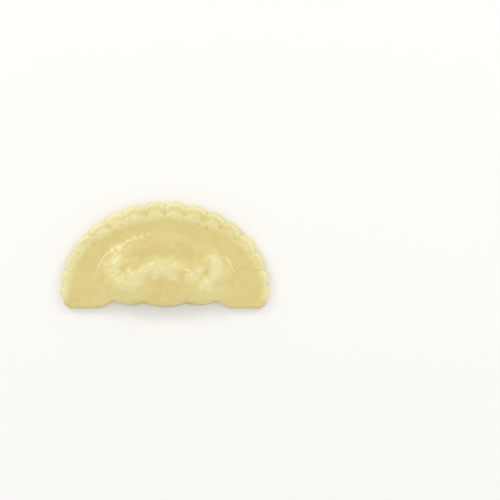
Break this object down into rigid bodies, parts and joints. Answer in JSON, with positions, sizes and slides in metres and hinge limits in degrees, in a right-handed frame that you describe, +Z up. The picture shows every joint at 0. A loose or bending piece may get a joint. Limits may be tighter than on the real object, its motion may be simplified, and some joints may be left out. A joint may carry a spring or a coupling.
{
  "type": "half-moon filled pasta",
  "caption": "Half-moon filled pasta with a scalloped, crimped arc, a softly lobed fold and a domed filling, lying on its flat underside.",
  "frame": {"origin": "centre of the footprint, on the surface that the pasta lies on", "axes": "+X along the fold, +Y from the fold towards the scalloped arc, +Z up through the domed side"},
  "size_m": [0.076, 0.0384, 0.0081],
  "materials": {
    "egg_dough": "moist egg pasta dough, softly glossy, paler on the rim and over the lumps of filling"
  },
  "bodies": {
    "root": {"filled_pasta": "egg_dough"}
  },
  "joints": []
}
